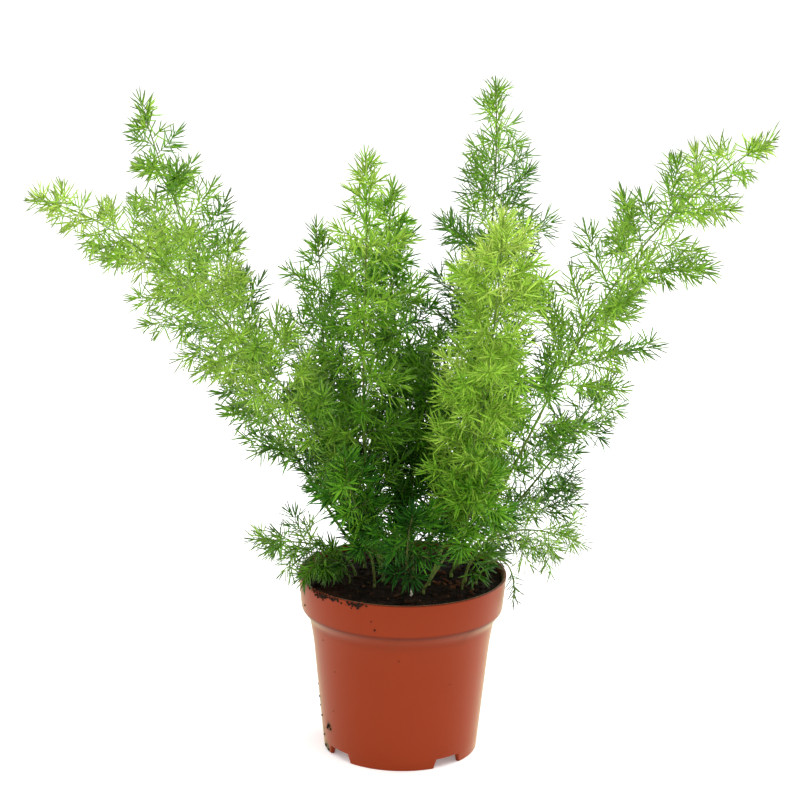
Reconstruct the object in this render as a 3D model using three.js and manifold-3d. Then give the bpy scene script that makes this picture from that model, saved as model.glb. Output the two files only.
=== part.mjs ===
// Foxtail fern in a 12 cm nursery pot. Millimetres, +Z up, with the origin on the ground
// under the middle of the pot. Each frond is one closed skin: a three-sided stem whose
// faces are drawn out into branchlets, and the branchlets' faces into needles.

import * as THREE from 'three';
import { mergeVertices } from 'three/addons/utils/BufferGeometryUtils.js';
import Module from 'manifold-3d';

const wasm = await Module();
wasm.setup();

// ---------------------------------------------------------------- driving dimensions

const GAP = 0.3; // between pieces that touch on the real thing
const SIDES = 40; // facets round the pot

const POT_HEIGHT = 105;
const LIP_RADIUS = 60;
const LIP_ROUND = 0.8;
const BAND_FOOT_HEIGHT = 85; // the wide band round the top ends here
const BAND_FOOT_RADIUS = 58;
const SHOULDER_HEIGHT = 79; // and the body begins here
const SHOULDER_RADIUS = 53.4;
const FLARE_HEIGHT = 66; // above here the body widens faster
const FLARE_RADIUS = 51;
const FOOT_RADIUS = 44.3;
const FOOT_ROUND = 0.8;
const WALL = 1.2;
const FLOOR_UNDERSIDE = 6;

const NOTCHES = 4;
const NOTCH_TURN = 38; // degrees from the front towards +X
const NOTCH_HEIGHT = 5.4;
const NOTCH_TOP_WIDTH = 15.5;
const NOTCH_FOOT_WIDTH = 19.5;

const DRAINS = 4;
const DRAIN_RADIUS = 4;
const DRAIN_CIRCLE = 28;
const DRAIN_SIDES = 10;

const SOIL_INSET = 0.7; // from the pot's wall, which has flatter facets
const SOIL_EDGE_HEIGHT = 100.5;
const SOIL_MIDDLE_HEIGHT = 102.5;
const SOIL_LUMP = 0.9;
const SOIL_RINGS = 6;
const SOIL_SIDES = 26;

const STEM_ROOT = 86; // the stems' lower ends, down in the soil
const STEM_RADIUS = 1.2;
const TWIG_RADIUS = 0.5;
const HOLE_RADIUS = STEM_RADIUS + 2 * GAP;
const HOLE_SIDES = 6;
const STEM_STEP = 34; // longest stretch between two rings of a stem

const BRUSH = 22; // the stem's last stretch carries needles itself
const WHORL_STEP = 3.5;
const FIRST_WHORL = 5;
const POINT = 6; // the needle that ends a twig
const NODE_THICK = 2.2; // a branchlet's root on its stem
const GOLDEN_ANGLE = THREE.MathUtils.degToRad(137.5);
const BRANCH_ANGLE = 66; // degrees between a branchlet and its stem
const BRANCH_BEND = 0.25; // how far its outer half turns towards the stem's tip
const NEEDLE_ANGLE = 62;
const NEEDLE_FORWARD = 14; // how much further forward the needles near a tip lean

const BRANCH_ROOM = 3.5; // least distance between the middles of two twigs
const TWIG_ROOM = 2.2; // from a needle to another twig's middle
const NEEDLE_ROOM = 1.1; // from a needle to a needle

// Each stem is a Bezier curve from the soil to the tip. bare is the length without
// branchlets above the soil, and turn is how far round the topmost branchlet stands, in
// degrees. A branchlet is as long as first + grow x its distance from the tip, and at most
// reach. drop pulls the branchlets down.
const FRONDS = [
  { name: 'frond_far_left', stem: [[-13, 2, 105], [0, -6, 150], [-146, -40, 338], [-207, -58, 330]],
    branchlets: 15, bare: 80, turn: 310, reach: 37, grow: 0.33, first: 6, needle: 9.5 },
  { name: 'frond_inner_left', stem: [[-25, 30, 105], [-69, 42, 159], [-132, 54, 286], [-155, 62, 370]],
    branchlets: 16, bare: 54, turn: 230, reach: 38, grow: 0.38, first: 7, needle: 9.5 },
  { name: 'frond_left_centre', stem: [[-22, 14, 105], [-52, 26, 167], [-44, 35, 237], [-53, 45, 302]],
    branchlets: 10, bare: 25, turn: 30, reach: 32, grow: 0.4, first: 8, needle: 9.5 },
  { name: 'frond_centre', stem: [[-11, -10, 105], [-32, -13, 188], [-19, -16, 271], [-24, -20, 355]],
    branchlets: 13, bare: 35, turn: 310, reach: 34, grow: 0.34, first: 8, needle: 9.5 },
  { name: 'frond_behind_centre', stem: [[-1, 30, 105], [18, 46, 171], [-20, 62, 243], [-8, 73, 322]],
    branchlets: 10, bare: 30, turn: 155, reach: 34, grow: 0.36, first: 7, needle: 9.5 },
  { name: 'frond_tall', stem: [[19, 12, 105], [35, 21, 197], [55, 30, 293], [48, 40, 388]],
    branchlets: 13, bare: 40, turn: 105, reach: 39, grow: 0.33, first: 6, needle: 10.5 },
  { name: 'frond_front', stem: [[15, -18, 105], [39, -36, 175], [50, -56, 252], [50, -79, 334]],
    branchlets: 12, bare: 38, turn: 285, reach: 32, grow: 0.45, first: 9, needle: 10 },
  { name: 'frond_right', stem: [[28, 0, 105], [85, -6, 197], [101, -4, 307], [206, 8, 360]],
    branchlets: 15, bare: 67, turn: 255, reach: 48, grow: 0.46, first: 5, needle: 10.5 },
  { name: 'frond_right_low', stem: [[30, 16, 105], [70, 36, 134], [97, 54, 171], [124, 71, 207]],
    branchlets: 9, bare: 28, turn: 60, reach: 34, grow: 0.42, first: 8, needle: 9.5 },
  { name: 'spray_right', stem: [[36, -8, 105], [41, -16, 140], [75, -23, 146], [105, -31, 131]],
    branchlets: 6, bare: 34, turn: 130, reach: 28, grow: 0.7, first: 8, needle: 9.5, drop: 0.45 },
  { name: 'spray_left', stem: [[-27, -4, 105], [-35, -9, 130], [-64, -18, 126], [-89, -24, 132]],
    branchlets: 6, bare: 20, turn: 285, reach: 22, grow: 0.6, first: 9, needle: 9.5, drop: 0.4 },
  { name: 'sprig_middle', stem: [[6, 8, 105], [0, 16, 150], [10, 22, 200], [20, 31, 246]],
    branchlets: 7, bare: 20, turn: 0, reach: 30, grow: 0.4, first: 8, needle: 9.5 },
  { name: 'sprig_front_left', stem: [[-16, -20, 105], [-16, -33, 134], [-32, -46, 163], [-33, -60, 195]],
    branchlets: 5, bare: 18, turn: 255, reach: 26, grow: 0.5, first: 9, needle: 10 },
  { name: 'sprig_front', stem: [[1, -24, 105], [3, -45, 125], [1, -65, 148], [6, -80, 168]],
    branchlets: 5, bare: 18, turn: 50, reach: 26, grow: 0.5, first: 9, needle: 10 },
  { name: 'sprig_front_right', stem: [[12, -30, 105], [27, -40, 132], [41, -52, 163], [49, -64, 190]],
    branchlets: 5, bare: 30, turn: 75, reach: 26, grow: 0.5, first: 9, needle: 10 },
  { name: 'tuft_right', stem: [[34, -22, 105], [35, -26, 117], [43, -32, 132], [54, -40, 130]],
    branchlets: 3, bare: 10, turn: 20, reach: 16, grow: 0.5, first: 8, needle: 9 },
  { name: 'tuft_left', stem: [[-30, -14, 105], [-38, -16, 121], [-52, -24, 124], [-57, -31, 104]],
    branchlets: 3, bare: 8, turn: 120, reach: 16, grow: 0.5, first: 8, needle: 9, drop: 0.3 },
  { name: 'sprig_back_left', stem: [[-14, 38, 105], [-23, 51, 141], [-43, 68, 179], [-50, 80, 219]],
    branchlets: 6, bare: 22, turn: 0, reach: 30, grow: 0.5, first: 9, needle: 9.5 },
  { name: 'sprig_back_right', stem: [[14, 38, 105], [26, 51, 142], [51, 68, 180], [60, 80, 221]],
    branchlets: 6, bare: 22, turn: 105, reach: 30, grow: 0.5, first: 9, needle: 9.5 },
  { name: 'tuft_over_lip', stem: [[42, -14, 105], [50, -15, 124], [66, -13, 124], [64, -12, 88]],
    branchlets: 0, bare: 0, turn: 50, needle: 7 },
];

// ---------------------------------------------------------------- solids and materials

// A closed geometry as a manifold: shared corners merged, faces without area left out.
function solidOf(geometry) {
  const bare = geometry.clone();
  bare.deleteAttribute('normal');
  bare.deleteAttribute('uv');
  const merged = mergeVertices(bare, 1e-4);
  const triangles = [];
  for (let i = 0; i < merged.index.count; i += 3) {
    const [a, b, c] = [0, 1, 2].map((k) => merged.index.getX(i + k));
    if (a !== b && b !== c && c !== a) triangles.push(a, b, c);
  }
  return new wasm.Manifold(new wasm.Mesh({
    numProp: 3,
    vertProperties: new Float32Array(merged.attributes.position.array),
    triVerts: new Uint32Array(triangles),
  }));
}

function geometryOf(solid) {
  const mesh = solid.getMesh();
  const geometry = new THREE.BufferGeometry();
  geometry.setAttribute('position', new THREE.BufferAttribute(mesh.vertProperties, 3));
  geometry.setIndex(new THREE.BufferAttribute(mesh.triVerts, 1));
  return geometry;
}

function material(color, roughness) {
  return new THREE.MeshStandardMaterial({ color, roughness, metalness: 0 });
}

const plastic = material(0x9e3e21, 0.45);
const peat = material(0x2a1d14, 0.95);
const foliage = material(0x6fae3c, 0.55);

const plant = new THREE.Group();

function addPiece(name, geometry, finish) {
  const mesh = new THREE.Mesh(geometry, finish);
  mesh.name = name;
  plant.add(mesh);
}

// A profile of [radius, height] pairs turned round Z.
function turned(profile, sides) {
  const points = profile.map(([radius, height]) => new THREE.Vector2(radius, height));
  const geometry = new THREE.LatheGeometry(points, sides);
  geometry.rotateX(Math.PI / 2);
  return geometry;
}

// ---------------------------------------------------------------- pot

const FLOOR_TOP = FLOOR_UNDERSIDE + WALL;

// The wall's inner side, from the floor up to the lip.
const POT_INSIDE = [
  [FOOT_RADIUS - WALL, FLOOR_TOP],
  [FLARE_RADIUS - WALL, FLARE_HEIGHT + WALL / 2],
  [SHOULDER_RADIUS - WALL, SHOULDER_HEIGHT + WALL / 2],
  [BAND_FOOT_RADIUS - WALL, BAND_FOOT_HEIGHT + WALL / 2],
  [LIP_RADIUS - LIP_ROUND / 2 - WALL, POT_HEIGHT],
];

// The floor stands clear of the ground on a foot ring.
function potProfile() {
  const outside = [
    [FOOT_RADIUS - FOOT_ROUND, 0],
    [FOOT_RADIUS, FOOT_ROUND],
    [FLARE_RADIUS, FLARE_HEIGHT],
    [SHOULDER_RADIUS, SHOULDER_HEIGHT],
    [BAND_FOOT_RADIUS, BAND_FOOT_HEIGHT],
    [LIP_RADIUS, POT_HEIGHT - LIP_ROUND],
    [LIP_RADIUS - LIP_ROUND / 2, POT_HEIGHT],
  ];
  const ringInside = FOOT_RADIUS - 2 * WALL;
  return [[0, FLOOR_UNDERSIDE], [ringInside, FLOOR_UNDERSIDE], [ringInside, 0],
    ...outside, ...POT_INSIDE.toReversed(), [0, FLOOR_TOP]];
}

// A wedge that cuts one notch out of the foot ring, pointing to the front.
function notchCutter() {
  const shape = new THREE.Shape([
    new THREE.Vector2(-NOTCH_FOOT_WIDTH / 2, -1),
    new THREE.Vector2(NOTCH_FOOT_WIDTH / 2, -1),
    new THREE.Vector2(NOTCH_TOP_WIDTH / 2, NOTCH_HEIGHT),
    new THREE.Vector2(-NOTCH_TOP_WIDTH / 2, NOTCH_HEIGHT),
  ]);
  const depth = FOOT_RADIUS / 2;
  const cutter = new THREE.ExtrudeGeometry(shape, { depth, bevelEnabled: false });
  cutter.rotateX(Math.PI / 2);
  return cutter.translate(0, -FOOT_RADIUS * 0.7, 0);
}

function makePot() {
  let pot = solidOf(turned(potProfile(), SIDES));
  for (let i = 0; i < NOTCHES; i++) {
    const turn = THREE.MathUtils.degToRad(NOTCH_TURN) + (i * 2 * Math.PI) / NOTCHES;
    pot = pot.subtract(solidOf(notchCutter().rotateZ(turn)));
  }
  for (let i = 0; i < DRAINS; i++) {
    const turn = THREE.MathUtils.degToRad(NOTCH_TURN) + (i * 2 * Math.PI) / DRAINS;
    const drain = new THREE.CylinderGeometry(DRAIN_RADIUS, DRAIN_RADIUS, 4 * WALL, DRAIN_SIDES);
    drain.rotateX(Math.PI / 2);
    drain.translate(0, -DRAIN_CIRCLE, FLOOR_UNDERSIDE + WALL / 2);
    pot = pot.subtract(solidOf(drain.rotateZ(turn)));
  }
  return geometryOf(pot);
}

addPiece('pot', makePot(), plastic);

// ---------------------------------------------------------------- soil

// A repeatable draw between -1 and 1 for a pair of whole numbers.
function draw(a, b) {
  const value = Math.sin(a * 127.1 + b * 311.7) * 43758.5453;
  return 2 * (value - Math.floor(value)) - 1;
}

// The soil's outer radius at a height: the wall's inner side, set in by the soil's gap.
function soilRadius(height) {
  const top = POT_INSIDE.findIndex((point) => point[1] >= height);
  const [[lowRadius, lowHeight], [highRadius, highHeight]] = POT_INSIDE.slice(top - 1, top + 1);
  const share = (height - lowHeight) / (highHeight - lowHeight);
  return THREE.MathUtils.lerp(lowRadius, highRadius, share) - SOIL_INSET;
}

// Peat pressed into the pot: a turned body whose top rises a little to the middle and is
// pushed up and down into lumps.
function makeSoil() {
  const foot = FLOOR_TOP + GAP;
  const edge = soilRadius(SOIL_EDGE_HEIGHT);
  const bends = POT_INSIDE.slice(1, -1).map(([, height]) => height);
  const sideHeights = [foot, ...bends, SOIL_EDGE_HEIGHT];
  const profile = [[0, foot], ...sideHeights.map((height) => [soilRadius(height), height])];
  for (let i = SOIL_RINGS - 1; i >= 0; i--) {
    const share = i / SOIL_RINGS;
    const height = SOIL_MIDDLE_HEIGHT + (SOIL_EDGE_HEIGHT - SOIL_MIDDLE_HEIGHT) * share * share;
    profile.push([edge * share, height]);
  }
  const geometry = turned(profile, SOIL_SIDES);
  const corner = geometry.attributes.position;
  for (let i = 0; i < corner.count; i++) {
    const [x, y, z] = [corner.getX(i), corner.getY(i), corner.getZ(i)];
    if (z < SOIL_EDGE_HEIGHT || Math.hypot(x, y) > edge - 1) continue;
    const lump = draw(Math.round(x), Math.round(y));
    corner.setZ(i, z + SOIL_LUMP * lump);
  }
  let soil = solidOf(geometry);
  for (const frond of FRONDS) {
    const [x, y] = frond.stem[0];
    const depth = 2 * (SOIL_MIDDLE_HEIGHT - STEM_ROOT + GAP);
    const hole = new THREE.CylinderGeometry(HOLE_RADIUS, HOLE_RADIUS, depth, HOLE_SIDES);
    hole.rotateX(Math.PI / 2);
    hole.translate(x, y, STEM_ROOT - GAP + depth / 2);
    soil = soil.subtract(solidOf(hole));
  }
  return geometryOf(soil);
}

addPiece('soil', makeSoil(), peat);

// ---------------------------------------------------------------- how a frond grows

const degrees = THREE.MathUtils.degToRad;
const vector = ([x, y, z]) => new THREE.Vector3(x, y, z);

// The direction that leaves a twig at an angle, turned round it.
function leaving({ along, guide }, angle, turn) {
  const across = guide.clone().cross(along).normalize();
  const over = along.clone().cross(across);
  return along.clone().multiplyScalar(Math.cos(angle))
    .addScaledVector(across, Math.sin(angle) * Math.cos(turn))
    .addScaledVector(over, Math.sin(angle) * Math.sin(turn));
}

// A twig is a path with a radius at each end. A stem has nodes, where branchlets leave it.
class Twig {
  constructor(path, rootRadius, tipRadius) {
    this.path = path;
    this.length = path.getLength();
    this.rootRadius = rootRadius;
    this.tipRadius = tipRadius;
    this.nodes = [];
    const way = path.getPoint(1).sub(path.getPoint(0)).normalize();
    this.guide = Math.abs(way.y) < 0.8 ? new THREE.Vector3(0, 1, 0) : new THREE.Vector3(1, 0, 0);
  }

  // A point of the path, the direction there, and the guide that turns are counted from.
  at(distance) {
    const share = THREE.MathUtils.clamp(distance / this.length, 0, 1);
    const point = this.path.getPointAt(share);
    return { point, along: this.path.getTangentAt(share), guide: this.guide };
  }

  radius(distance) {
    return THREE.MathUtils.lerp(this.rootRadius, this.tipRadius, distance / this.length);
  }

  // The middle line from a distance on, as straight pieces.
  lines(from, pieces) {
    const step = (this.length - from) / pieces;
    return Array.from({ length: pieces }, (_, i) => new THREE.Line3(
      this.at(from + i * step).point, this.at(from + (i + 1) * step).point));
  }
}

// Everything that has its place already: a middle line, its twig and the room it needs.
const placed = [];
const PROBES = 7;

function gapBetween(line, other) {
  const reach = (line.distance() + other.distance()) / 2 + BRANCH_ROOM;
  const spot = new THREE.Vector3();
  const near = new THREE.Vector3();
  const centre = other.getCenter(new THREE.Vector3());
  if (line.getCenter(spot).distanceTo(centre) > reach) return Infinity;
  let least = Infinity;
  for (let i = 0; i < PROBES; i++) {
    line.at(i / (PROBES - 1), spot);
    other.closestPointToPoint(spot, true, near);
    least = Math.min(least, spot.distanceTo(near));
  }
  return least;
}

// Foliage keeps off the soil and off the pot's lip.
function clearOfPot(line) {
  return [0, 0.5, 1].every((share) => {
    const spot = line.at(share, new THREE.Vector3());
    const radius = Math.hypot(spot.x, spot.y);
    if (radius < LIP_RADIUS - 5) return spot.z > SOIL_MIDDLE_HEIGHT + 3;
    return radius > LIP_RADIUS + 2 || spot.z > POT_HEIGHT + 2;
  });
}

function isClear(line, roomTo) {
  return clearOfPot(line) && placed.every((item) => gapBetween(line, item.line) > roomTo(item));
}

function place(twig, lines) {
  for (const line of lines) placed.push({ line, twig });
}

// ---------------------------------------------------------------- stems and branchlets

const TURN_TRIES = [0, 18, -18, 36, -36, 54, -54, 72, -72];

for (const frond of FRONDS) {
  const path = new THREE.CubicBezierCurve3(...frond.stem.map(vector));
  frond.twig = new Twig(path, STEM_RADIUS, TWIG_RADIUS);
  place(frond.twig, frond.twig.lines(0, 24));
}

function branchletPath(frond, root, length, turn, order) {
  const angle = degrees(BRANCH_ANGLE + 8 * draw(order, 3));
  const away = leaving(root, angle, turn);
  away.z -= frond.drop ?? 0;
  away.normalize();
  const onward = away.clone().addScaledVector(root.along, BRANCH_BEND).normalize();
  const middle = root.point.clone().addScaledVector(away, length / 2);
  const tip = middle.clone().addScaledVector(onward, length / 2);
  return new THREE.QuadraticBezierCurve3(root.point, middle, tip);
}

function addBranchlets(frond, number) {
  const stem = frond.twig;
  const start = BRUSH;
  const step = (stem.length - frond.bare - start) / frond.branchlets;
  for (let i = 0; i < frond.branchlets; i++) {
    const fromTip = start + i * step;
    const fromBare = stem.length - frond.bare - fromTip;
    const order = number * 40 + i;
    const full = Math.min(frond.reach, frond.first + frond.grow * fromTip, 14 + 0.8 * fromBare);
    const length = full * (1 + 0.15 * draw(order, 1));
    const root = stem.at(stem.length - fromTip);
    for (const offset of TURN_TRIES) {
      const wander = 0.3 * draw(order, 2);
      const turn = i * GOLDEN_ANGLE + wander + degrees(frond.turn + offset);
      const path = branchletPath(frond, root, length, turn, order);
      const twig = new Twig(path, TWIG_RADIUS, TWIG_RADIUS * 0.8);
      const lines = twig.lines(BRANCH_ROOM * 1.4, 6);
      if (!lines.every((line) => isClear(line, () => BRANCH_ROOM))) continue;
      place(twig, lines);
      stem.nodes.unshift({ distance: stem.length - fromTip, turn, branchlet: twig });
      break;
    }
  }
}

FRONDS.forEach(addBranchlets);

// ---------------------------------------------------------------- needles

const LEAN_TRIES = [0, -9, 9];
const SWING_TRIES = [0, 16, -16, 30, -30];
const NEEDLE_ROOT = 2.4; // past here a needle must be clear of everything

function findNeedle(twig, distance, turn, length) {
  const root = twig.at(distance);
  const share = distance / twig.length;
  const lean = NEEDLE_ANGLE - NEEDLE_FORWARD * share;
  for (const shrink of [1, 0.75]) {
    for (const swing of SWING_TRIES) {
      for (const tilt of LEAN_TRIES) {
        const way = leaving(root, degrees(lean + tilt), turn + degrees(swing));
        const tip = root.point.clone().addScaledVector(way, length * shrink);
        const line = new THREE.Line3(root.point.clone().addScaledVector(way, NEEDLE_ROOT), tip);
        const roomTo = (item) => (item.needle || item.twig === twig ? NEEDLE_ROOM : TWIG_ROOM);
        if (!isClear(line, roomTo)) continue;
        placed.push({ line, twig, needle: true });
        return tip;
      }
    }
  }
  return null;
}

// Whorls of three needles, each turned half a side on from the last.
function addBrush(twig, from, needleLength) {
  const count = Math.max(1, Math.round((twig.length - POINT - from) / WHORL_STEP));
  const step = (twig.length - POINT - from) / count;
  const start = draw(Math.round(twig.length * 10), count);
  const whorls = Array.from({ length: count }, (_, i) => [0, 1, 2].map((side) => {
    const length = needleLength * (0.92 + 0.12 * draw(Math.round(from * 10) + i, side));
    const turn = start + ((i + 2 * side) * Math.PI) / 3;
    return findNeedle(twig, from + (i + 0.3) * step, turn, length);
  }));
  twig.brush = { from, step, start, whorls };
}

for (const frond of FRONDS) {
  const stem = frond.twig;
  for (const { branchlet } of stem.nodes) addBrush(branchlet, FIRST_WHORL, frond.needle);
  addBrush(stem, stem.length - BRUSH + 2 * NODE_THICK, frond.needle);
}

// ---------------------------------------------------------------- a frond's skin

// Corners and faces of one closed surface. Rings hold three corners each, counted
// anticlockwise as seen from the twig's tip.
class Skin {
  constructor() {
    this.corners = [];
    this.faces = [];
  }

  corner(point) {
    this.corners.push(point);
    return this.corners.length - 1;
  }

  // The turn points to the middle of the ring's first side.
  ring(twig, distance, turn) {
    const middle = twig.at(distance);
    const radius = twig.radius(distance);
    return [-1, 1, 3].map((thirds) => this.corner(middle.point.clone()
      .addScaledVector(leaving(middle, Math.PI / 2, turn + (thirds * Math.PI) / 3), radius)));
  }

  // Six faces between two rings, along the shortest set of edges.
  sleeve(low, high) {
    const apart = (a, b) => this.corners[a].distanceTo(this.corners[b]);
    let best = null;
    for (const shift of [0, 1, 2]) {
      const top = [0, 1, 2].map((k) => high[(k + shift) % 3]);
      for (const leansBack of [true, false]) {
        let length = 0;
        for (let k = 0; k < 3; k++) {
          const next = (k + 1) % 3;
          length += apart(low[k], top[k]);
          length += leansBack ? apart(low[next], top[k]) : apart(low[k], top[next]);
        }
        if (!best || length < best.length) best = { length, top, leansBack };
      }
    }
    for (let k = 0; k < 3; k++) {
      const next = (k + 1) % 3;
      this.quad(low[k], low[next], best.top[next], best.top[k], best.leansBack);
    }
  }

  // Two faces; leansBack picks the diagonal from the second corner to the fourth.
  quad(a, b, c, d, leansBack) {
    if (leansBack) this.faces.push([a, b, d], [b, c, d]);
    else this.faces.push([a, b, c], [a, c, d]);
  }

  spike(base, tip) {
    const apex = this.corner(tip);
    base.forEach((from, k) => this.faces.push([from, base[(k + 1) % base.length], apex]));
  }

  // Draws a twig out of a ring that is already there, up to its pointed tip.
  grow(twig, root) {
    let last = root;
    let reached = 0;
    for (const node of twig.nodes) {
      last = this.stretch(twig, last, reached, node.distance, node.turn);
      const low = this.ring(twig, node.distance, node.turn);
      const high = this.ring(twig, node.distance + NODE_THICK, node.turn);
      this.sleeve(last, low);
      this.quad(low[1], low[2], high[2], high[1], true);
      this.quad(low[2], low[0], high[0], high[2], true);
      this.faces.push([low[1], high[1], high[0]]);
      this.grow(node.branchlet, [low[0], low[1], high[0]]);
      last = high;
      reached = node.distance + NODE_THICK;
    }
    last = this.stretch(twig, last, reached, twig.brush.from, twig.brush.start);
    this.spike(this.bristle(twig, last), twig.at(twig.length).point);
  }

  // Plain rings on a long bare length, so that the twig keeps its curve.
  stretch(twig, root, from, to, turn) {
    let last = root;
    const pieces = Math.ceil((to - from) / STEM_STEP);
    for (let i = 1; i < pieces; i++) {
      const ring = this.ring(twig, from + ((to - from) * i) / pieces, turn);
      this.sleeve(last, ring);
      last = ring;
    }
    return last;
  }

  // The part with needles. Its rings turn half a side each, so every side is an upright
  // face, which is drawn out into a needle, and an upturned one.
  bristle(twig, last) {
    const { from, step, start, whorls } = twig.brush;
    let low = this.ring(twig, from, start);
    this.sleeve(last, low);
    whorls.forEach((needles, i) => {
      const high = this.ring(twig, from + (i + 1) * step, start + ((i + 1) * Math.PI) / 3);
      needles.forEach((tip, k) => {
        const next = (k + 1) % 3;
        const upright = [low[k], low[next], high[k]];
        if (tip) this.spike(upright, tip);
        else this.faces.push(upright);
        this.faces.push([low[next], high[next], high[k]]);
      });
      low = high;
    });
    return low;
  }

  geometry() {
    const geometry = new THREE.BufferGeometry().setFromPoints(this.corners);
    return geometry.setIndex(this.faces.flat());
  }
}

// The stem starts with a straight end down in the soil.
function makeFrond(frond) {
  const skin = new Skin();
  const stem = frond.twig;
  const foot = skin.ring(stem, 0, 0);
  const [x, y] = frond.stem[0];
  const root = foot.map((index) => {
    const above = skin.corners[index];
    return skin.corner(new THREE.Vector3(above.x, above.y, STEM_ROOT));
  });
  skin.faces.push([root[2], root[1], root[0]]);
  skin.sleeve(root, foot);
  skin.grow(stem, foot);
  return skin.geometry();
}

for (const frond of FRONDS) addPiece(frond.name, makeFrond(frond), foliage);

export default plant;
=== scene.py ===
"""A foxtail fern in a moulded nursery pot. Metres, +Z up, front towards -Y.

Sizes of the object's own pieces are in millimetres, as a grower would measure them.
"""
import math

import bmesh
import bpy
import numpy as np
from mathutils import Matrix, Vector, noise


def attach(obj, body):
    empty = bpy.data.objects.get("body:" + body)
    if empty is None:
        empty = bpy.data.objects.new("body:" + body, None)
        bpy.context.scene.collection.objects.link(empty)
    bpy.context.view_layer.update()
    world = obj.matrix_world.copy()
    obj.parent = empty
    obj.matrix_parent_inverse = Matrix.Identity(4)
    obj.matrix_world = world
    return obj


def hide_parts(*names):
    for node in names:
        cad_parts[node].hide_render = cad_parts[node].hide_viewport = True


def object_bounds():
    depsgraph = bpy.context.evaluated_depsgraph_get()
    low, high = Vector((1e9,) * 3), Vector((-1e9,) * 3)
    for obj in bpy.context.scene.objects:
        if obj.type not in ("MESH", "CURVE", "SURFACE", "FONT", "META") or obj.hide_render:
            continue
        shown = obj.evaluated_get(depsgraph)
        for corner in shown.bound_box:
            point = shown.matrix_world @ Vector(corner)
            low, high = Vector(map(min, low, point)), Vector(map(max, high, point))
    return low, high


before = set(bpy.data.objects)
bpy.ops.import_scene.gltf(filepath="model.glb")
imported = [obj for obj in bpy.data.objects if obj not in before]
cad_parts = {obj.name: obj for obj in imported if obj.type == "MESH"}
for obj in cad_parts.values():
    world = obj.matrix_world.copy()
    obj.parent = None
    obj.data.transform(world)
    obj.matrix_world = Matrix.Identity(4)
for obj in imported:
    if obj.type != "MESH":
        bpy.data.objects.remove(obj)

cad_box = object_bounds()

# ---------------------------------------------------------------- studio
# A white table that runs on into a white surround, as in a light tent. Soft boxes stand behind
# the plant at the left and right, and one hangs overhead. A black card behind the camera shades
# the front of the pot. The sizes in this section are in metres.

TABLE_RADIUS = 9.0
TABLE_SIDES = 64
CARD_HALF_WIDTH = 0.9
CARD_FOOT = 0.3
CARD_TOP = 1.75
CARD_PLACE = -2.3
SURROUND_STRENGTH = 1.05
BOX_AIM = (0, 0, 0.16)
CAMERA_PLACE = (-0.0029, -1.5, 0.615)
CAMERA_TILT = 74.8
CAMERA_TURN = 0.83
CAMERA_LENS = 123.57


def colour(red, green, blue):
    """A screen colour, 0 to 255, as the linear colour that a shader takes."""
    def linear(value):
        value /= 255
        return value / 12.92 if value <= 0.04045 else ((value + 0.055) / 1.055) ** 2.4
    return linear(red), linear(green), linear(blue), 1.0


class Wire:
    """A socket of a material's nodes. Arithmetic on wires adds the Math nodes it needs."""

    def __init__(self, tree, socket=None):
        self.tree = tree
        self.socket = socket

    def node(self, kind, settings=None, sockets=None, output=0):
        """Adds a node: its settings come first, then the values or wires of its sockets."""
        made = self.tree.nodes.new("ShaderNode" + kind)
        for name, value in (settings or {}).items():
            if name == "stops":
                ramp = made.color_ramp.elements
                while len(ramp) < len(value):
                    ramp.new(0.5)
                for stop, (place, shade) in zip(ramp, value):
                    stop.position, stop.color = place, shade
            else:
                setattr(made, name, value)
        for name, value in (sockets or {}).items():
            if isinstance(value, Wire):
                self.tree.links.new(value.socket, made.inputs[name])
            else:
                made.inputs[name].default_value = value
        return Wire(self.tree, made.outputs[output] if made.outputs else None)

    def beside(self, output):
        """Another output of the same node."""
        return Wire(self.tree, self.socket.node.outputs[output])

    def __add__(self, other):
        return self.node("Math", {"operation": "ADD"}, {0: self, 1: other})

    def __mul__(self, other):
        return self.node("Math", {"operation": "MULTIPLY"}, {0: self, 1: other})

    __radd__ = __add__
    __rmul__ = __mul__

    def ramp(self, low, high, start=0.0, end=1.0):
        """This value between low and high, carried over to start and end, smoothly."""
        return self.node("MapRange", {"interpolation_type": "SMOOTHSTEP"},
                         {0: self, 1: low, 2: high, 3: start, 4: end})

    def mix(self, first, second):
        """From the first colour to the second by this value."""
        return self.node("Mix", {"data_type": "RGBA"}, {0: self, 6: first, 7: second}, 2)

    def times(self, shade):
        """This colour darkened or lightened by a number."""
        return self.node("VectorMath", {"operation": "SCALE"}, {0: self, "Scale": shade})

    def noise(self, place, scale, detail=3.0, rough=0.5):
        return self.node("TexNoise", {}, {"Vector": place, "Scale": scale, "Detail": detail,
                                          "Roughness": rough})

    def bump(self, relief, strength, depth):
        """A surface direction from a relief that is at most depth metres deep."""
        return self.node("Bump", {}, {"Strength": strength, "Distance": depth,
                                      "Height": relief})


def new_finish(name):
    """An empty material, a wire that builds its nodes, and the place on the object."""
    material = bpy.data.materials.new(name)
    material.use_nodes = True
    material.node_tree.nodes.clear()
    wire = Wire(material.node_tree)
    return material, wire, wire.node("TexCoord", output=3)


def close_finish(wire, sockets):
    """The surface shader that the wires and values end in."""
    surface = wire.node("BsdfPrincipled", {}, sockets)
    wire.node("OutputMaterial", {}, {"Surface": surface})


def table_paint():
    """Matt white, lit a little from within so that its far side stays white."""
    material, wire, place = new_finish("table_paint")
    speckle = wire.noise(place, 60.0)
    close_finish(wire, {
        "Base Color": speckle.mix(colour(250, 250, 250), colour(252, 252, 252)),
        "Roughness": 0.9, "Specular IOR Level": 0.1,
        "Emission Color": (1, 1, 1, 1), "Emission Strength": 0.22})
    return material


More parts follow.
